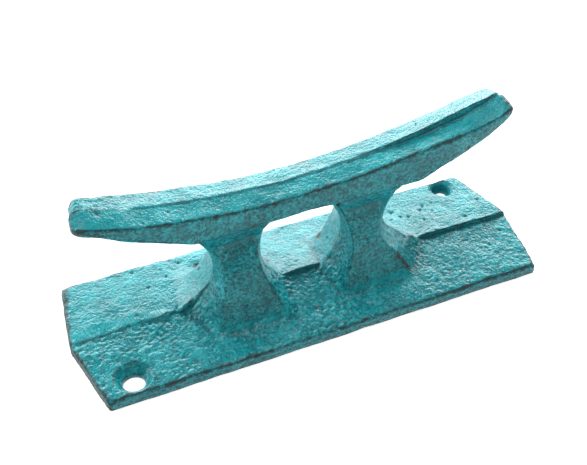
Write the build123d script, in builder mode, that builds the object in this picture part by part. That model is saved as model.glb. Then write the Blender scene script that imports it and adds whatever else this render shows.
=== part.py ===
# Horn cleat, one sand casting with two countersunk screw holes.
# Frame: origin on the seat plane under the middle of the base, +X along the
# horn, +Y across the base, +Z up. Millimetres.
# The casting was moulded in two halves that part on the XZ plane, so every
# wall falls back from that plane, and the halves closed slightly out of line.
# It is divided at two level planes into base, legs and horn.
from build123d import *
import os
from math import radians, tan

# base
base_length = 130.0        # corner to corner, along the long edges
base_width = 47.0
end_draft = 9.5            # degrees, the end faces come to a shallow point
edge_height = 3.4          # thickness at the long edges
ridge_end_height = 4.2     # height of the middle ridge at the two ends
ridge_height = 6.2         # height of the middle ridge beside the feet
ridge_shoulder_x = 36.0    # where the ridge reaches its full height
corner_radius = 2.5
floor_allowance = 1.5      # extra thickness below the seat, ground off flat

# legs
waist_inner_x = 13.0       # narrowest point of the gap between the legs
waist_inner_z = 19.0
waist_outer_x = 25.4       # slimmest point of a leg's outer side
waist_outer_z = 15.5
inner_flare = 0.050        # how fast the inner side spreads, per mm squared
outer_flare_low = 0.080    # the outer side spreads fast towards the foot
outer_flare_high = 0.045   # and slowly towards the horn
face_flare = 0.0090        # how fast the broad faces spread towards the foot
flank_slope = 0.22         # side walls lean in by this much per mm of depth
leg_bottom_z = 4.0         # buried in the base
leg_top_z = 29.0           # buried in the horn
leg_sections = 6

# horn
horn_half_depth = 7.2
horn_draft = 8.0           # degrees, on the top and on the tips
keel_rise = 5.2            # the underside climbs this far from keel to face
saddle_z = 40.9            # top of the horn over the middle
arch_z = 32.0              # underside of the horn over the middle
arch_rise = 2.4            # the arch climbs this far from middle to face
tip_x = 63.2
tip_top_z = 51.6
tip_low_x = 61.2
tip_low_z = 42.6
arm_mid_x = 47.5           # a point on the curved keel of each arm
arm_mid_z = 34.3
shoulder_x = 33.0          # where the keel meets the leg
shoulder_z = 26.4
arch_foot_x = 10.0
tip_radius = 1.0

# screw holes, one at each end on opposite sides, the right one nearer its edge
left_hole = (-56.5, -17.5)
right_hole = (57.6, 18.9)
hole_radius = 3.1
left_countersink_radius = 5.2
right_countersink_radius = 4.1
countersink_angle = 90

# how far each mould half is out of place, and the planes between the pieces
slip_x = 0.8
slip_z = 0.3
foot_plane_z = 9.0
neck_plane_z = 24.0

base_half = base_width / 2
end_bulge = base_half * tan(radians(end_draft))
point_x = base_length / 2 + end_bulge
side_slope = (ridge_end_height - edge_height) / base_half
horn_inset = horn_half_depth * tan(radians(horn_draft))


def base_section(y, half_length, end_height, middle_height):
    """One lengthwise section of the base, in the plane at that y."""
    with BuildSketch(Plane.XZ.offset(-y)) as section:
        with BuildLine():
            Polyline(
                (-half_length, -floor_allowance),
                (half_length, -floor_allowance),
                (half_length, end_height),
                (ridge_shoulder_x, middle_height),
                (-ridge_shoulder_x, middle_height),
                (-half_length, end_height),
                close=True,
            )
        make_face()
    return section.sketch


def inner_x(z):
    return waist_inner_x - inner_flare * (z - waist_inner_z) ** 2


def outer_x(z):
    flare = outer_flare_low if z < waist_outer_z else outer_flare_high
    return waist_outer_x + flare * (z - waist_outer_z) ** 2


def half_depth(z):
    return horn_half_depth + face_flare * (leg_top_z - z) ** 2


def leg_section(z, side):
    """Six-sided section of one leg: widest on the parting plane."""
    depth = half_depth(z)
    lean = flank_slope * depth
    near = side * inner_x(z)
    far = side * outer_x(z)
    with BuildSketch(Plane.XY.offset(z)) as section:
        with BuildLine():
            Polyline(
                (near, 0),
                (near + side * lean, -depth),
                (far - side * lean, -depth),
                (far, 0),
                (far - side * lean, depth),
                (near + side * lean, depth),
                close=True,
            )
        make_face()
    return section.sketch


def horn_section(y, inset, keel_lift, arch_lift):
    """One lengthwise section of the horn, with its outline drawn in."""
    top = tip_top_z - inset
    far = tip_x - inset
    near = tip_low_x - inset
    low = tip_low_z + keel_lift
    middle = arm_mid_z + keel_lift
    shoulder = shoulder_z + keel_lift
    arch = arch_foot_x + inset
    with BuildSketch(Plane.XZ.offset(-y)) as section:
        with BuildLine():
            ThreePointArc((-far, top), (0, saddle_z - inset), (far, top))
            Line((far, top), (near, low))
            ThreePointArc((near, low), (arm_mid_x, middle), (shoulder_x, shoulder))
            Line((shoulder_x, shoulder), (arch, shoulder_z))
            ThreePointArc((arch, shoulder_z), (0, arch_z + arch_lift), (-arch, shoulder_z))
            Line((-arch, shoulder_z), (-shoulder_x, shoulder))
            ThreePointArc((-shoulder_x, shoulder), (-arm_mid_x, middle), (-near, low))
            Line((-near, low), (-far, top))
        make_face()
        top_corners = section.vertices().group_by(Axis.Y)[-1]
        fillet(top_corners, tip_radius)
    return section.sketch


# The whole shape before the mould halves slip.
with BuildPart() as blank:
    # base slab, highest along its middle, with pointed ends
    for side in (-1, 1):
        add(base_section(0, point_x, ridge_end_height, ridge_height))
        add(base_section(side * base_half, base_length / 2, edge_height, edge_height))
        loft(ruled=True)
    fillet(blank.edges().filter_by(Axis.Z).group_by(SortBy.DISTANCE)[-1], corner_radius)

    # two waisted legs
    leg_step = (leg_top_z - leg_bottom_z) / (leg_sections - 1)
    for side in (-1, 1):
        for level in range(leg_sections):
            add(leg_section(leg_bottom_z + level * leg_step, side))
        loft()

    # upswept horn
    for side in (-1, 1):
        add(horn_section(0, 0, 0, 0))
        add(horn_section(side * horn_half_depth, horn_inset, keel_rise, arch_rise))
        loft(ruled=True)

# The halves slip apart along the parting plane, then the seat is ground flat.
with BuildPart() as casting:
    front = split(blank.part, bisect_by=Plane.XZ, keep=Keep.TOP, mode=Mode.PRIVATE)
    back = split(blank.part, bisect_by=Plane.XZ, keep=Keep.BOTTOM, mode=Mode.PRIVATE)
    add(front.moved(Location((-slip_x, 0, -slip_z))))
    add(back.moved(Location((slip_x, 0, slip_z))))
    split(bisect_by=Plane.XY, keep=Keep.TOP)
    for (x, y), rim_radius, slip in (
        (left_hole, left_countersink_radius, -slip_z),
        (right_hole, right_countersink_radius, slip_z),
    ):
        rim_z = edge_height + side_slope * (base_half - abs(y)) + slip
        with Locations((x, y, rim_z)):
            CounterSinkHole(hole_radius, rim_radius, counter_sink_angle=countersink_angle)

# The casting is divided into its working regions, which meet face to face.
foot_plane = Plane.XY.offset(foot_plane_z)
neck_plane = Plane.XY.offset(neck_plane_z)

with BuildPart() as base:
    add(casting.part)
    split(bisect_by=foot_plane, keep=Keep.BOTTOM)
base.part.label = "base"

with BuildPart() as left_leg:
    add(casting.part)
    split(bisect_by=foot_plane, keep=Keep.TOP)
    split(bisect_by=neck_plane, keep=Keep.BOTTOM)
    split(bisect_by=Plane.YZ, keep=Keep.BOTTOM)
left_leg.part.label = "left_leg"

with BuildPart() as right_leg:
    add(casting.part)
    split(bisect_by=foot_plane, keep=Keep.TOP)
    split(bisect_by=neck_plane, keep=Keep.BOTTOM)
    split(bisect_by=Plane.YZ, keep=Keep.TOP)
right_leg.part.label = "right_leg"

with BuildPart() as horn:
    add(casting.part)
    split(bisect_by=neck_plane, keep=Keep.TOP)
horn.part.label = "horn"

os.makedirs("parts", exist_ok=True)
export_step(base.part, "parts/base.step")
export_step(left_leg.part, "parts/left_leg.step")
export_step(right_leg.part, "parts/right_leg.step")
export_step(horn.part, "parts/horn.step")
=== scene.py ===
# Horn cleat: a painted sand casting, rough and worn, resting on a pale floor.
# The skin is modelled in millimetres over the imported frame, then scaled to metres.
from itertools import product
from math import cos, exp, pi, radians, sin, sqrt

import bmesh
import bpy
import numpy as np
from mathutils import Euler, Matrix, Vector


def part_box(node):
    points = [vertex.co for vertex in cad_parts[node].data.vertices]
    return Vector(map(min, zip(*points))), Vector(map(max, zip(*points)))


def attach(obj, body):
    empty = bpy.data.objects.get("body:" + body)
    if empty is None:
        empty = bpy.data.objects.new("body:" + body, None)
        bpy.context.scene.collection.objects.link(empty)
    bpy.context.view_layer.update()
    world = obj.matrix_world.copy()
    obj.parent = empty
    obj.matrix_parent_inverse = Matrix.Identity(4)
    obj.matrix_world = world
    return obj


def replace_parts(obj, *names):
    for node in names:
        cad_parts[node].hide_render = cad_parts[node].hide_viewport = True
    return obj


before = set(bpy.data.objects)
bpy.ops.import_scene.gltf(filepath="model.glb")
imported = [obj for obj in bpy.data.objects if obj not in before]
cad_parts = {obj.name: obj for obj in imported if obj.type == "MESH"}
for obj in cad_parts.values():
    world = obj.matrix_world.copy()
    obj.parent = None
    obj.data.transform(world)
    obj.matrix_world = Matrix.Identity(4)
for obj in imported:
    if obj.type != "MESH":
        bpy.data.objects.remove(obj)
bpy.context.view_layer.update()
mm = 0.001


def nodeBox(name):
    low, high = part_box(name)
    return np.array(low) / mm, np.array(high) / mm


baseLow, baseHigh = nodeBox("base")
hornLow, hornHigh = nodeBox("horn")
footPlane = baseHigh[2]        # level face between the base and the legs
neckPlane = hornLow[2]         # level face between the legs and the horn


# small shape helpers

def smoothMin(a, b, k):
    h = max(k - abs(a - b), 0.0) / k
    return min(a, b) - h * h * k / 4


def bump(x, middle, width):
    return exp(-((x - middle) / width) ** 2)


def blend(t):
    t = min(max(t, 0.0), 1.0)
    return t * t * (3 - 2 * t)


def loftRings(name, rings):
    # closed body through a row of closed rings, flat at both ends
    bm = bmesh.new()
    rows = [[bm.verts.new(p) for p in ring] for ring in rings]
    count = len(rows[0])
    for lower, upper in zip(rows, rows[1:]):
        for i in range(count):
            j = (i + 1) % count
            bm.faces.new((lower[i], lower[j], upper[j], upper[i]))
    bm.faces.new(rows[0][::-1])
    bm.faces.new(rows[-1])
    bmesh.ops.recalc_face_normals(bm, faces=bm.faces)
    mesh = bpy.data.meshes.new(name)
    bm.to_mesh(mesh)
    bm.free()
    body = bpy.data.objects.new(name, mesh)
    bpy.context.scene.collection.objects.link(body)
    return body


def select(body):
    bpy.ops.object.select_all(action="DESELECT")
    body.select_set(True)
    bpy.context.view_layer.objects.active = body


def cutWith(body, cutter):
    cut = body.modifiers.new("cut", "BOOLEAN")
    cut.object = cutter
    cut.operation = "DIFFERENCE"
    cut.solver = "EXACT"
    select(body)
    bpy.ops.object.modifier_apply(modifier=cut.name)


# base

baseShape = {
    "halfWidth": baseHigh[1] - 0.25,
    "cornerX": {(-1, -1): 64.9, (-1, 1): 66.3, (1, -1): 65.7, (1, 1): 65.1},    # ends of the long edges
    "pointX": baseHigh[0] - 0.35,   # tip of the shallow point on the parting line
    "cornerRound": 2.0,
    "edgeHeight": 3.55,
    "edgeRound": 0.8,
    "ridgeEnd": 4.3,
    "ridgeRise": 2.2,           # more height between the legs
    "ridgeSpread": 32.0,
    "groundWidth": 3.8,         # strip dressed along the ridge of the left back half
    "overlap": 0.9,             # each half reaches this far into the other
    "holeRadius": 3.1,
    "holes": {-1: (-56.5, -17.5, 5.3, 3.0), 1: (57.6, 18.9, 4.1, 1.9)},   # place, rim and lowest radius
}


def baseStep(x):
    # how far the back half stands proud of the front along the ridge
    return 0.35 + 0.35 * blend((x + 40) / 18) + 0.3 * blend((x - 20) / 15)


def cornerAt(x, side):
    return baseShape["cornerX"][1 if x > 0 else -1, side]


def baseHalfWidth(x, side):
    s = baseShape
    slant = s["halfWidth"] * (s["pointX"] - abs(x)) / (s["pointX"] - cornerAt(x, side))
    return max(smoothMin(s["halfWidth"], slant, s["cornerRound"]), 0.02)


def baseTop(x, y, side):
    s = baseShape
    ridge = s["ridgeEnd"] + s["ridgeRise"] * bump(x, 0, s["ridgeSpread"])
    ridge += 0.5 * side * baseStep(x)
    fall = min(abs(y) / s["halfWidth"], 1.0)
    z = ridge + (s["edgeHeight"] - ridge) * fall ** 0.9
    if side > 0:
        dressed = blend((-x - 32) / 8) * blend(1.15 - abs(y) / s["groundWidth"])
        z -= 0.25 * baseStep(x) * dressed
    slantRun = s["pointX"] - cornerAt(x, side)
    toEnd = (s["pointX"] - abs(x) - slantRun * fall) * 0.97
    toEdge = smoothMin(s["halfWidth"] - abs(y), toEnd, 2.5)
    r = s["edgeRound"]
    inset = min(max(r - toEdge, 0.0), r)
    return z - (r - sqrt(max(r * r - inset * inset, 0.0)))


def baseRing(x, side):
    s = baseShape
    width = baseHalfWidth(x, side)
    steps = [0, 0.06, 0.15, 0.27, 0.4, 0.53, 0.66, 0.78, 0.87, 0.93, 0.965, 0.985, 1.0]
    top = [(x, side * f * width, baseTop(x, f * width, side)) for f in steps]
    buried = [(x, -side * s["overlap"], 0), (x, -side * s["overlap"], top[0][2] - 1.2)]
    return buried + top + [(x, side * width, 0)]


def screwCutter(side):
    s = baseShape
    x, y, rim, lowest = s["holes"][side]
    mouth = baseTop(x, abs(y), side)
    profile = [
        (lowest, -4), (lowest, 0.4), (s["holeRadius"], mouth - rim + s["holeRadius"]), (rim, mouth),
        (rim + 0.5, mouth + 0.6), (rim + 1.0, mouth + 4),
    ]
    count = 64
    rings = []
    for radius, z in profile:
        turn = [2 * pi * i / count for i in range(count)]
        rings.append([(x + radius * cos(a), y + radius * sin(a), z) for a in turn])
    return loftRings("screwCutter", rings)


def makeBaseHalf(side):
    s = baseShape
    inner = np.linspace(-s["pointX"] + 8, s["pointX"] - 8, 90)
    outer = s["pointX"] - (s["pointX"] - inner[-1]) * (1 - np.linspace(0, 1, 24)[1:]) ** 1.6
    stations = np.concatenate([-outer[::-1], inner, outer])
    stations = stations * (1 - 0.0005)
    body = loftRings("baseHalf", [baseRing(x, side) for x in stations])
    cutter = screwCutter(side)
    cutWith(body, cutter)
    bpy.data.objects.remove(cutter)
    return body


# legs
# Each column runs from the buried foot up into the horn. "wall" is the outline on
# the parting plane, "face" the edge of the broad face, "depth" how far it stands out.

legLevels = [2.0, 3.5, 5.0, 8.0, 12.0, 16.0, 20.0, 25.0, 28.5, 33.0]
legShape = {
    ("left", -1): {
        "wallOut": [41.0, 38.6, 36.2, 32.4, 28.6, 27.2, 27.3, 28.8, 31.5, 38.0],
        "wallIn": [1.0, 2.6, 4.2, 7.8, 10.8, 12.6, 13.0, 12.2, 10.4, 6.0],
        "faceOut": [35.0, 32.0, 30.4, 29.4, 28.4, 26.9, 26.6, 26.4, 26.2, 28.0],
        "faceIn": [4.0, 7.4, 9.2, 11.0, 12.9, 14.6, 15.8, 16.2, 15.4, 13.0],
        "depthOut": [19.0, 15.4, 13.2, 11.4, 10.2, 9.2, 8.0, 5.6, 4.6, 6.4],
        "depthIn": [22.0, 18.0, 15.0, 12.6, 11.4, 10.2, 9.0, 6.9, 5.2, 6.5],
    },
    ("right", -1): {
        "wallOut": [43.0, 40.8, 38.4, 33.4, 28.8, 25.6, 25.6, 28.2, 31.0, 37.0],
        "wallIn": [0.5, 1.8, 3.2, 6.8, 9.6, 11.2, 11.6, 10.2, 8.4, 4.5],
        "faceOut": [34.0, 30.4, 28.6, 27.4, 25.6, 22.0, 20.4, 21.0, 22.4, 27.0],
        "faceIn": [2.0, 5.4, 7.4, 8.6, 10.0, 11.2, 11.6, 11.0, 9.8, 7.0],
        "depthOut": [19.0, 15.0, 12.8, 11.2, 10.2, 9.3, 8.1, 6.2, 5.1, 6.5],
        "depthIn": [20.0, 15.8, 13.4, 11.7, 10.7, 9.7, 8.5, 6.5, 5.2, 6.5],
    },
    ("left", 1): {
        "wallOut": [45.0, 41.6, 38.2, 33.2, 28.9, 27.2, 27.0, 29.0, 31.8, 38.0],
        "wallIn": [1.0, 2.6, 4.2, 7.6, 10.8, 12.6, 13.0, 12.0, 10.4, 6.0],
        "faceOut": [41.0, 37.0, 33.6, 29.8, 27.0, 25.2, 24.8, 26.2, 28.6, 34.0],
        "faceIn": [2.0, 5.4, 8.4, 11.0, 13.2, 14.8, 15.0, 14.0, 12.6, 9.0],
        "depthOut": [19.0, 15.0, 12.8, 11.0, 10.0, 9.2, 8.4, 7.0, 5.8, 6.0],
        "depthIn": [19.0, 15.0, 12.8, 11.0, 10.0, 9.2, 8.4, 7.0, 5.8, 6.0],
    },
    ("right", 1): {
        "wallOut": [44.0, 41.0, 38.4, 33.6, 29.0, 25.9, 25.6, 28.2, 31.0, 37.0],
        "wallIn": [0.5, 1.8, 3.2, 6.8, 9.9, 11.6, 12.0, 10.8, 9.2, 5.5],
        "faceOut": [35.0, 31.6, 29.4, 27.4, 25.4, 24.0, 23.6, 25.2, 27.6, 33.0],
        "faceIn": [1.0, 4.2, 7.2, 9.8, 11.8, 13.0, 13.4, 12.6, 11.2, 8.0],
        "depthOut": [19.0, 15.0, 12.8, 11.0, 10.0, 9.2, 8.4, 7.0, 5.8, 6.0],
        "depthIn": [19.0, 15.0, 12.8, 11.0, 10.0, 9.2, 8.4, 7.0, 5.8, 6.0],
    },
}


def alongLevels(values, z):
    # smooth run through the column's values
    x = np.array(legLevels)
    y = np.array(values)
    slope = np.gradient(y, x)
    i = int(np.clip(np.searchsorted(x, z) - 1, 0, len(x) - 2))
    span = x[i + 1] - x[i]
    t = (z - x[i]) / span
    a = (2 * t ** 3 - 3 * t ** 2 + 1) * y[i] + (t ** 3 - 2 * t ** 2 + t) * span * slope[i]
    b = (3 * t ** 2 - 2 * t ** 3) * y[i + 1] + (t ** 3 - t ** 2) * span * slope[i + 1]
    return a + b


def legRing(which, side, z):
    shape = legShape[which, side]
    at = {key: alongLevels(values, z) for key, values in shape.items()}
    flip = -1 if which == "left" else 1
    buried = 0.9
    corners = [
        (at["wallIn"] + 0.8, -side * buried),
        (at["wallIn"], 0),
        (at["faceIn"], side * at["depthIn"]),
        (at["faceOut"], side * at["depthOut"]),
        (at["wallOut"], 0),
        (at["wallOut"] - 0.8, -side * buried),
    ]
    ring = []
    divisions = [1, 7, 7, 7, 1, 3]
    for i, ((x0, y0), parts) in enumerate(zip(corners, divisions)):
        x1, y1 = corners[(i + 1) % len(corners)]
        for k in range(parts):
            t = k / parts
            ring.append((flip * (x0 + (x1 - x0) * t), y0 + (y1 - y0) * t, z))
    return ring


def makeLegHalf(which, side):
    levels = np.linspace(legLevels[0], legLevels[-1], 60)
    return loftRings("legHalf", [legRing(which, side, z) for z in levels])


# horn

hornShape = {
    "tipX": {("left", -1): 63.5, ("left", 1): 62.3, ("right", -1): 61.9, ("right", 1): 60.9},
    "depth": 6.8,
    "tipRound": 4.4,
    "tipThick": 2.5,            # least height of the front and back faces
    "low": 33.3,                # lower front edge between the legs
    "armFrom": 33.5,            # where the arms start to rise
    "armSlope": {-1: 0.41, 1: 0.45},    # rise of the lower edge, left and right
    "tipCurl": 0.012,           # extra upward curve of the lower edge near the tips
    "overlap": 0.9,
}


def hornLines(x, side):
    # heights of the top at the parting line, the top edge, the lower edge and the keel
    s = hornShape
    reach = abs(x)
    partingBack = 41.2 + 0.035 * x + 0.0026 * x * x
    if side > 0:
        droop = 0.9 * blend((x - 47) / 14)
        parting = partingBack - 0.5 * blend((-x - 46) / 12) - 0.6 * droop
        edge = 40.8 + 0.02 * x + 0.0024 * x * x - droop - 0.5 * bump(x, -8, 18)
    else:
        parting = partingBack - 0.25 - 1.25 * bump(x, 37, 13) - 0.8 * blend((x - 40) / 8)
        parting += 1.3 * blend((-x - 44) / 14)
        edge = 40.45 + 0.022 * x + 0.0024 * x * x - 0.6 * blend((4 - x) / 20)
        edge += 0.5 * bump(x, -60, 7) - 0.7 * bump(x, 51, 9)
    low = s["low"] + 0.6 * bump(x, -2, 8)
    low += s["armSlope"][1 if x > 0 else -1] * max(reach - s["armFrom"], 0)
    low += s["tipCurl"] * max(reach - 47, 0) ** 2
    low = smoothMin(low, edge - s["tipThick"], 1.0)
    away = blend((reach - 12) / 14)
    keel = low - 1.9 - 2.9 * away
    return parting, edge, low, keel


def hornRing(x, side):
    s = hornShape
    parting, edge, low, keel = hornLines(x, side)
    d = s["depth"] + (0.35 * bump(x, 50, 12) if side < 0 else 0)
    o = s["overlap"]
    points = [
        (-o, parting - 1.6), (0, parting), (0.3 * d, parting + (edge - parting) * 0.3),
        (0.6 * d, parting + (edge - parting) * 0.6), (d - 0.9, edge + 0.1), (d - 0.3, edge - 0.12),
        (d, edge - 0.8), (d + 0.1, 0.5 * (edge + low)), (d, low + 0.7), (d - 0.3, low + 0.1),
        (0.6 * d, low + (keel - low) * 0.4), (0.3 * d, low + (keel - low) * 0.75), (0, keel),
        (-o, keel + 1.2),
    ]
    tip = s["tipX"]["left" if x < 0 else "right", side]
    toTip = min(max((tip - abs(x)) / s["tipRound"], 0), 1)
    g = max((1 - (1 - toTip) ** 2.4) ** (1 / 2.4), 0.03)
    gy = g ** 0.8
    centreY = 0.45 * d
    centreZ = min(parting - 4.2, edge - 1.6)
    return [(x, side * (centreY + (y - centreY) * gy), centreZ + (z - centreZ) * g) for y, z in points]


def makeHornHalf(side):
    s = hornShape
    left = s["tipX"]["left", side]
    right = s["tipX"]["right", side]
    r = s["tipRound"]
    closing = r * (1 - np.sin(np.linspace(0, pi / 2, 14)[1:]))
    stations = np.concatenate([
        (-left + closing)[::-1], np.linspace(-left + r, right - r, 130), right - closing,
    ])
    return loftRings("hornHalf", [hornRing(x, side) for x in stations])


# the halves joined into one casting

castingShape = {
    "voxel": 0.34,
    "smoothRounds": 4,
    "filletRounds": 44,         # extra smoothing where the legs flow into the base
    "wearRadius": 26,           # smoothing rounds that tell edges from hollows
    "warp": 0.2,                # waviness of the pattern's edges
    "ragged": 0.7,              # more of it along the parting lip by the legs
    "warpAxes": (0.8, 0.9, 0.7),    # share of the warp along x, y and z
    "cornerSoft": 0.45,         # share of the fillet smoothing on the front faces' corners
}


def joinHalves():
    halves = []
    for side in (-1, 1):
        halves.append(makeBaseHalf(side))
        halves.append(makeHornHalf(side))
        for which in ("left", "right"):
            halves.append(makeLegHalf(which, side))
    select(halves[0])
    for half in halves:
        half.select_set(True)
    bpy.ops.object.join()
    casting = bpy.context.view_layer.objects.active
    casting.data.remesh_voxel_size = castingShape["voxel"]
    casting.data.remesh_voxel_adaptivity = 0
    bpy.ops.object.voxel_remesh()
    return casting


def readPoints(mesh):
    flat = np.empty(len(mesh.vertices) * 3)
    mesh.vertices.foreach_get("co", flat)
    return flat.reshape(-1, 3)


def writePoints(mesh, points):
    mesh.vertices.foreach_set("co", points.ravel())
    mesh.update()


def readNormals(mesh):
    flat = np.empty(len(mesh.vertices) * 3)
    mesh.vertex_normals.foreach_get("vector", flat)
    return flat.reshape(-1, 3)


def smoothBody(body, rounds, weights=None):
    modifier = body.modifiers.new("smooth", "SMOOTH")
    modifier.factor = 0.5
    modifier.iterations = rounds
    if weights is not None:
        group = body.vertex_groups.new(name="soft")
        steps = np.round(weights * 8).astype(int)
        for level in range(1, 9):
            chosen = np.flatnonzero(steps == level).tolist()
            if chosen:
                group.add(chosen, level / 8, "REPLACE")
        modifier.vertex_group = group.name
    select(body)
    bpy.ops.object.modifier_apply(modifier=modifier.name)
    if weights is not None:
        body.vertex_groups.remove(body.vertex_groups["soft"])


def grain(points, size, seed):
    # smooth random field through space, from -1 to 1, with features of the given size
    table = np.random.default_rng(seed).uniform(-1, 1, 4096)
    turned = points @ np.array(Euler((seed, seed * 1.7, seed * 0.6)).to_matrix())
    cell = np.floor(turned / size).astype(np.int64)
    t = turned / size - cell
    t = t * t * (3 - 2 * t)
    total = np.zeros(len(points))
    for corner in product((0, 1), repeat=3):
        step = cell + np.array(corner)
        key = (step[:, 0] * 73856093) ^ (step[:, 1] * 19349663) ^ (step[:, 2] * 83492791)
        weight = np.prod(np.where(np.array(corner) > 0, t, 1 - t), axis=1)
        total += weight * table[key & 4095]
    return total


def ease(low, high, value):
    t = np.clip((value - low) / (high - low), 0, 1)
    return t * t * (3 - 2 * t)


def spot(points, centre, radius):
    away = np.linalg.norm(points - np.array(centre), axis=1) / radius
    return np.exp(-away ** 2)


# sand texture, pits and dressed strips

surface = {
    "coarse": 0.105,            # lumps of the open sand, on the front slope and scooped walls
    "calm": 0.05,               # the same lumps elsewhere
    "fine": 0.04,
    "broad": 0.08,              # slow unevenness of the whole skin
    "chips": 0.16,              # depth of the chips along the arrises
    "witnessHeight": 1.5,       # a wavy line part way up the base's edge
    "witnessDepth": 0.14,
    "rustDepth": 0.3,
    "nickDepth": 0.12,
    "dressedCalm": 0.45,        # share of the relief taken off the dressed strips
    "leftCorner": 65.5,         # how far out the base's two left corners lie
    "cornerPatina": [0.12, 0.75, 0.45, 0.4],    # share kept on the legs' front corners, left to right
    "pitDepth": 0.34,
    "pitRadius": 0.5,
    "pitCount": 150,
    "seed": 7,
    "deepPits": [               # larger blow holes in the back half's slope
        (36.6, 13.9), (38.4, 11.0), (40.7, 10.1), (47.2, 12.9), (45.6, 11.4), (44.4, 6.6),
        (-43.0, 12.6), (-45.5, 20.8), (-36.9, 15.0), (-31.7, 19.5), (-49.0, 22.6),
    ],
    "rust": [                   # bare and stained spots at the leg roots
        (-27.0, 15.7, 4.2), (9.7, 10.0, 8.2), (26.4, -10.2, 10.6), (27.8, -10.6, 8.2), (29.2, -11.2, 6.2),
    ],
    "nicks": [-19.0, -11.0, 2.0, 30.5],     # small cracks across the horn's front top edge
}

casting = joinHalves()
print("casting skin:", len(casting.data.vertices), "points")
skin = casting.data
smoothBody(casting, castingShape["smoothRounds"])

points = readPoints(skin)
px, py, pz = points.T
# soften the flow from the legs into the base, and the corners of the legs' front faces
nearFoot = ease(2.9, 4.2, pz) * (1 - ease(9, 15, pz)) * (1 - ease(38, 44, np.abs(px)))
nearFoot *= ease(0.8, 2.4, np.abs(py))
faceCorners = ease(4, 7, pz) * (1 - ease(25, 29, pz)) * ease(3.5, 5, -py)
nearFoot = np.maximum(nearFoot, castingShape["cornerSoft"] * faceCorners)
smoothBody(casting, castingShape["filletRounds"], nearFoot)

points = readPoints(skin)
onFloor = points[:, 2] < 0.06
warp = np.stack([grain(points, 5.5, 11 + axis) for axis in range(3)], axis=1)
warp += 0.5 * np.stack([grain(points, 2.4, 21 + axis) for axis in range(3)], axis=1)
warp[:, 2] *= ease(0.3, 2.5, points[:, 2])
# the parting lip is ragged beside the legs
lip = np.exp(-(points[:, 1] / 1.6) ** 2) * (1 - ease(8, 9, points[:, 2]))
lip *= ease(11, 14, np.abs(points[:, 0])) * (1 - ease(40, 48, np.abs(points[:, 0])))
reach = castingShape["warp"] + castingShape["ragged"] * lip
points = points + reach[:, None] * warp * np.array(castingShape["warpAxes"])
points[onFloor, 2] = 0
writePoints(skin, points)

# arrises and hollows, from how far a well smoothed copy sinks below the surface
normals = readNormals(skin)
copy = casting.copy()
copy.data = skin.copy()
bpy.context.scene.collection.objects.link(copy)
smoothBody(copy, castingShape["wearRadius"])
relief = ((points - readPoints(copy.data)) * normals).sum(axis=1)
bpy.data.objects.remove(copy)
print("wear read from", len(relief), "points")
arris = ease(0.015, 0.13, relief + 0.03 * grain(points, 1.3, 51) + 0.03 * grain(points, 4.0, 52))
# hollows, which the paint darkens with painted shade
hollow = ease(0.015, 0.06, -relief)

px, py, pz = points.T
# less patina down the corners of the legs' front faces
onLegs = ease(5, 7, pz) * (1 - ease(26, 28, pz)) * ease(2.5, 4, -py)
kept = np.select([px < -20, px < 0, px < 16], surface["cornerPatina"][:3], surface["cornerPatina"][3])
arris *= 1 - onLegs * (1 - kept)
# the left end is scuffed along its edge
fromLeftEnd = baseHigh[0] + px - (baseHigh[0] - surface["leftCorner"]) * np.abs(py) / baseHigh[1]
scuffed = (1 - ease(0.6, 1.9, fromLeftEnd + 0.5 * grain(points, 1.5, 53))) * (pz < 8)
arris = np.maximum(arris, 0.9 * scuffed)
# upright faces get mottled painted shade, less so on the flanks of the back halves
upright = 1 - ease(0.35, 0.8, np.abs(normals[:, 2]))
upright *= np.where(py < 0, 1, ease(0.35, 0.7, np.abs(normals[:, 1])))
onBase = 1 - ease(7.5, 10, pz)
# front slope, which takes coarser sand and mottled painted shade
frontSlope = ease(0.0, 1.2, -py) * onBase * ease(0.6, 0.85, normals[:, 2])
backSlope = ease(0.0, 1.2, py) * onBase * ease(0.6, 0.85, normals[:, 2])
hornTop = ease(38.5, 40, pz) * ease(0.6, 0.9, normals[:, 2])
dressedHorn = hornTop * ease(-0.15, 0.25, py) * (1 - ease(1.7, 2.4, py + 0.5 * grain(points, 3, 31)))
dressedHorn *= ease(-30, -24, px) * (1 - ease(12, 18, px))
dressedBase = backSlope * (1 - ease(3.2, 4.3, py + 0.5 * grain(points, 3, 32))) * (1 - ease(-36, -32, px))
dressed = np.clip(dressedHorn + dressedBase, 0, 1)
under = ease(0.5, 0.9, -normals[:, 2]) * (1 - ease(0.2, 1.0, pz))

lumps = 0.5 * grain(points * np.array([0.85, 1, 1]), 1.2, 41) + grain(points, 0.8, 42)
sand = grain(points, 0.55, 43)
middle = ease(0.25, 0.6, 0.5 + 0.5 * grain(points, 7.5, 44))    # rough and calmer areas
scoop = ease(0.3, 1.2, -py) * (1 - ease(13, 19, pz)) * (1 - ease(0.75, 0.95, -normals[:, 1]))
coarse = np.maximum(frontSlope, 0.9 * scoop * (pz > 3.2)) * (1.2 - 0.7 * ease(26, 40, px))
coarse *= 1 + 0.75 * np.exp(-((px - 2) / 20) ** 2)      # roughest between and before the legs
height = surface["coarse"] * lumps * coarse * (0.5 + 1.0 * middle)
height += surface["calm"] * lumps * (1 - coarse) * (1 - 0.3 * hornTop)
height += surface["fine"] * sand * (1 + 0.8 * coarse)
height += surface["broad"] * grain(points, 4.5, 45)
height -= surface["chips"] * arris * ease(0.1, 0.7, grain(points, 1.6, 46))
fromWitness = pz - surface["witnessHeight"] - 0.25 * grain(points, 6, 47)
witness = np.exp(-(fromWitness / 0.3) ** 2) * upright * (pz < 3)
height -= surface["witnessDepth"] * witness * (0.6 + 0.4 * grain(points, 2.5, 48))

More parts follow.
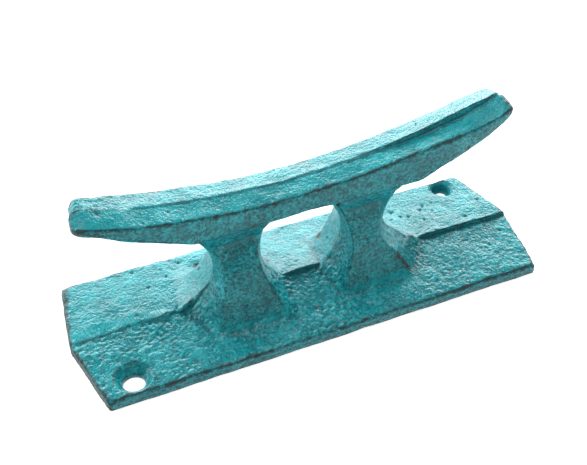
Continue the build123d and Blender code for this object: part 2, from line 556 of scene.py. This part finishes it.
rng = np.random.default_rng(surface["seed"])
pits = np.zeros(len(points))
for index in rng.choice(len(points), surface["pitCount"], replace=False):
    radius = surface["pitRadius"] * rng.uniform(0.6, 1.3)
    pits = np.maximum(pits, spot(points, points[index], radius) * rng.uniform(0.4, 1.0))
for x, y in surface["deepPits"]:
    pits = np.maximum(pits, 1.1 * spot(points, (x, y, baseTop(x, y, 1)), 0.5))
rust = np.zeros(len(points))
for place in surface["rust"]:
    near = np.array([0.8, 0.8, 0.6]) * (points - np.array(place))
    rust = np.maximum(rust, np.exp(-(near ** 2).sum(axis=1) / 1.4))
nicks = np.zeros(len(points))
for x in surface["nicks"]:
    across = (px - x - 0.5 * grain(points, 1.1, 49)) / 0.28
    nicks = np.maximum(nicks, np.exp(-across ** 2) * ease(-7.4, -6.4, py) * (1 - ease(-5.4, -3.6, py)))
nicks *= ease(38.2, 39.6, pz) * (py < 0)
height -= surface["pitDepth"] * pits + surface["rustDepth"] * rust + surface["nickDepth"] * nicks
height *= (1 - surface["dressedCalm"] * dressed) * (1 - under)
moved = points + normals * height[:, None]
moved[:, 2] = np.maximum(moved[:, 2], 0)
moved[onFloor, 2] = 0
writePoints(skin, moved)
print("sand texture on", len(moved), "points")


def keepOnSkin(mesh, name, values):
    layer = mesh.attributes.new(name, "FLOAT", "POINT")
    layer.data.foreach_set("value", values.astype(np.float32))


keepOnSkin(skin, "arris", arris)
# hollows and low spots take painted shade in the paint
keepOnSkin(skin, "hollow", hollow)
keepOnSkin(skin, "dressed", dressed)
keepOnSkin(skin, "pits", np.clip(pits + 0.5 * nicks, 0, 1))
keepOnSkin(skin, "rust", rust)
# upright faces and front slopes take mottled painted shade in the paint
keepOnSkin(skin, "upright", upright)
keepOnSkin(skin, "low", ease(-0.12, 0.12, -height))
keepOnSkin(skin, "front", frontSlope)

for polygon in skin.polygons:
    polygon.use_smooth = True
writePoints(skin, moved * mm)
flow = readNormals(skin)
layer = skin.attributes.new("flow", "FLOAT_VECTOR", "POINT")
layer.data.foreach_set("vector", flow.ravel())


# paint

class Wire:
    # a node's output that can be used in arithmetic
    def __init__(self, paintwork, socket):
        self.paintwork = paintwork
        self.socket = socket

    def math(self, operation, a, b):
        return self.paintwork.node("ShaderNodeMath", {"operation": operation}, {0: a, 1: b})

    def __add__(self, other):
        return self.math("ADD", self, other)

    def __radd__(self, other):
        return self.math("ADD", other, self)

    def __sub__(self, other):
        return self.math("SUBTRACT", self, other)

    def __rsub__(self, other):
        return self.math("SUBTRACT", other, self)

    def __mul__(self, other):
        return self.math("MULTIPLY", self, other)

    def __rmul__(self, other):
        return self.math("MULTIPLY", other, self)


class Paintwork:
    def __init__(self, name):
        self.material = bpy.data.materials.new(name)
        self.material.use_nodes = True
        self.tree = self.material.node_tree
        self.tree.nodes.clear()

    def node(self, kind, settings, values, out=0):
        made = self.tree.nodes.new(kind)
        for key, value in settings.items():
            setattr(made, key, value)
        for key, value in values.items():
            if isinstance(value, Wire):
                self.tree.links.new(value.socket, made.inputs[key])
            else:
                made.inputs[key].default_value = value
        return Wire(self, made.outputs[out]) if made.outputs else made

    def attribute(self, name):
        return self.node("ShaderNodeAttribute", {"attribute_name": name}, {}, out="Fac")

    def place(self, stretch=(1, 1, 1)):
        # position in millimetres
        where = self.node("ShaderNodeTexCoord", {}, {}, out="Object")
        return self.node("ShaderNodeMapping", {}, {"Vector": where, "Scale": [1000 * k for k in stretch]})

    def cloud(self, size, detail=2, stretch=(1, 1, 1), rough=0.5):
        values = {"Vector": self.place(stretch), "Scale": 1 / size, "Detail": detail, "Roughness": rough}
        return self.node("ShaderNodeTexNoise", {}, values, out="Fac")

    def between(self, value, low, high):
        settings = {"interpolation_type": "SMOOTHSTEP", "clamp": True}
        values = {"Value": value, "From Min": low, "From Max": high}
        return self.node("ShaderNodeMapRange", settings, values)

    def mix(self, factor, a, b):
        settings = {"data_type": "RGBA", "clamp_factor": True}
        return self.node("ShaderNodeMix", settings, {0: factor, 6: a, 7: b}, out=2)


aqua = {
    "paint": (0.008, 0.315, 0.355, 1),
    # painted shade for the hollows and low spots
    "hollowShade": (0.003, 0.175, 0.208, 1),
    "bright": (0.026, 0.410, 0.450, 1),
    # painted shade, mottled over the upright faces and front slopes
    "shade": (0.006, 0.105, 0.122, 1),      # mottling of the upright faces
    "patina": (0.018, 0.046, 0.050, 1),     # grey wear along the arrises
    "rust": (0.046, 0.042, 0.040, 1),
    "gloss": 0.21,              # roughness of clean paint
    "specular": 0.3,
    "bumpStrength": 0.85,
    "bumpDistance": 0.00024,    # metres
}


def paintedIron():
    p = Paintwork("paintedIron")
    arris = p.attribute("arris")
    hollow = p.attribute("hollow")
    dressed = p.attribute("dressed")
    pits = p.attribute("pits")
    rust = p.attribute("rust")
    upright = p.attribute("upright")
    low = p.attribute("low")
    front = p.attribute("front")
    patches = p.cloud(6.0, 3)
    speckle = p.cloud(0.6, 2, rough=0.7)
    streaks = p.cloud(0.8, 3, stretch=(0.7, 1, 1.1), rough=0.65)

    colour = p.mix(p.between(patches, 0.35, 0.7), aqua["paint"], aqua["bright"])
    # painted shade: a deeper aqua in the hollows and low spots
    colour = p.mix(p.between(hollow * 0.7 + low * 0.35, 0.1, 0.9), colour, aqua["hollowShade"])
    # mottled painted shade darkens the upright faces and front slopes, with dark specks partly in the low
    # spots; grey patina lies along the arrises and in pits
    mottle = p.between(streaks + 0.6 * speckle, 0.62, 1.0)
    worn = p.between(arris + 1.1 * speckle + 0.6 * patches, 0.95, 1.9)
    specks = p.between(speckle + 0.3 * low, 0.5, 0.8)
    shade = (0.85 * upright + 0.45 * front) * mottle + 0.4 * specks
    colour = p.mix(shade, colour, aqua["shade"])
    grime = p.between(worn * 0.95 + pits * 0.9, 0.0, 1.1)
    colour = p.mix(grime, colour, aqua["patina"])
    colour = p.mix(p.between(rust + 0.5 * speckle, 0.6, 0.95), colour, aqua["rust"])

    gloss = aqua["gloss"] + 0.30 * grime + 0.12 * (patches - 0.5) - 0.06 * dressed
    pebble = p.cloud(0.75, 2, rough=0.6)
    scratches = p.cloud(0.5, 2, stretch=(1.6, 0.25, 1), rough=0.6)
    plain = 1 - 0.7 * dressed
    texture = (pebble + 0.5 * speckle) * plain + 0.9 * scratches * dressed
    normal = p.node("ShaderNodeBump", {}, {
        "Height": texture, "Strength": aqua["bumpStrength"], "Distance": aqua["bumpDistance"],
    })
    shader = p.node("ShaderNodeBsdfPrincipled", {}, {
        "Base Color": colour, "Roughness": gloss, "Normal": normal, "Specular IOR Level": aqua["specular"],
    })
    p.node("ShaderNodeOutputMaterial", {}, {"Surface": shader})
    return p.material


# four pieces of one casting

def slicePiece(name, low, high, side=0):
    # the part of the skin between two levels, closed with flat faces
    bm = bmesh.new()
    bm.from_mesh(skin)
    for level, up in ((low, -1), (high, 1)):
        if level is not None:
            everything = bm.verts[:] + bm.edges[:] + bm.faces[:]
            bmesh.ops.bisect_plane(
                bm, geom=everything, dist=1e-7, plane_co=(0, 0, level * mm),
                plane_no=(0, 0, up), clear_outer=True,
            )
    if side:
        others = [v for v in bm.verts if v.co.x * side < 0]
        bmesh.ops.delete(bm, geom=others, context="VERTS")
    rim = [edge for edge in bm.edges if edge.is_boundary]
    caps = bmesh.ops.holes_fill(bm, edges=rim, sides=0)["faces"]
    capIndex = len(bm.faces) - len(caps)
    bmesh.ops.triangulate(bm, faces=caps)
    mesh = bpy.data.meshes.new(name)
    bm.to_mesh(mesh)
    bm.free()
    body = bpy.data.objects.new(name, mesh)
    bpy.context.scene.collection.objects.link(body)
    flat = np.empty(len(mesh.vertices) * 3, dtype=np.float32)
    mesh.attributes["flow"].data.foreach_get("vector", flat)
    corners = np.empty(len(mesh.loops), dtype=np.int32)
    mesh.loops.foreach_get("vertex_index", corners)
    facing = flat.reshape(-1, 3)[corners]
    facing /= np.linalg.norm(facing, axis=1)[:, None]
    for polygon in mesh.polygons:
        polygon.use_smooth = True
        if polygon.index >= capIndex:
            facing[list(polygon.loop_indices)] = polygon.normal
    mesh.attributes.remove(mesh.attributes["flow"])
    mesh.normals_split_custom_set(facing.tolist())
    mesh.materials.append(paint)
    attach(body, "root")
    print(name, len(mesh.polygons), "faces, caps", len(caps))
    return body


paint = paintedIron()
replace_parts(slicePiece("baseCasting", None, footPlane), "base")
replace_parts(slicePiece("leftLegCasting", footPlane, neckPlane, -1), "left_leg")
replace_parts(slicePiece("rightLegCasting", footPlane, neckPlane, 1), "right_leg")
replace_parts(slicePiece("hornCasting", neckPlane, None), "horn")
bpy.data.objects.remove(casting)

# stage, light and camera

cameraPlace = {
    "where": (-84.61, -187.47, 203.4),
    "turn": 23.57,              # degrees towards +X from looking along +Y
    "down": 41.66,
    "focal": 977.05,
    "frameWidth": 587,
}


def makeCamera():
    c = cameraPlace
    data = bpy.data.cameras.new("camera")
    data.sensor_width = 36
    data.lens = c["focal"] * data.sensor_width / c["frameWidth"]
    data.clip_start = 0.01
    data.clip_end = 20
    camera = bpy.data.objects.new("camera", data)
    camera.location = Vector(c["where"]) * mm
    camera.rotation_euler = (radians(90 - c["down"]), 0, radians(-c["turn"]))
    bpy.context.scene.collection.objects.link(camera)
    bpy.context.scene.camera = camera


light = {
    "ambient": 0.16,
    "window": 87,
    "leftWindow": 26,
    "overhead": 20,
    "tableGlow": 0.62,
    "floorReach": 20,
}


def makeStage():
    bm = bmesh.new()
    bmesh.ops.create_grid(bm, x_segments=1, y_segments=1, size=light["floorReach"])
    mesh = bpy.data.meshes.new("floor")
    bm.to_mesh(mesh)
    bm.free()
    floor = bpy.data.objects.new("floor", mesh)
    bpy.context.scene.collection.objects.link(floor)
    white = bpy.data.materials.new("white")
    white.use_nodes = True
    shader = white.node_tree.nodes["Principled BSDF"].inputs
    shader["Base Color"].default_value = (0.8, 0.8, 0.8, 1)
    shader["Roughness"].default_value = 1
    shader["Specular IOR Level"].default_value = 0
    shader["Emission Color"].default_value = (1, 1, 1, 1)
    shader["Emission Strength"].default_value = light["tableGlow"]
    floor.data.materials.append(white)


def addArea(name, where, size, power):
    data = bpy.data.lights.new(name, "AREA")
    data.shape = "RECTANGLE"
    data.size = size[0]
    data.size_y = size[1]
    data.energy = power
    lamp = bpy.data.objects.new(name, data)
    lamp.location = where
    lamp.rotation_euler = (Vector((0, 0, 0.02)) - Vector(where)).to_track_quat("-Z", "Y").to_euler()
    bpy.context.scene.collection.objects.link(lamp)


makeCamera()
makeStage()
world = bpy.data.worlds.new("studio")
world.use_nodes = True
world.node_tree.nodes["Background"].inputs["Color"].default_value = (1, 1, 1, 1)
world.node_tree.nodes["Background"].inputs["Strength"].default_value = light["ambient"]
bpy.context.scene.world = world
addArea("window", (0.65, 1.7, 0.62), (3.4, 0.95), light["window"])
addArea("leftWindow", (-1.3, 1.4, 0.8), (1.4, 0.9), light["leftWindow"])
addArea("overhead", (-0.1, -0.1, 1.9), (1.2, 1.0), light["overhead"])
bpy.context.scene.view_settings.view_transform = "Standard"
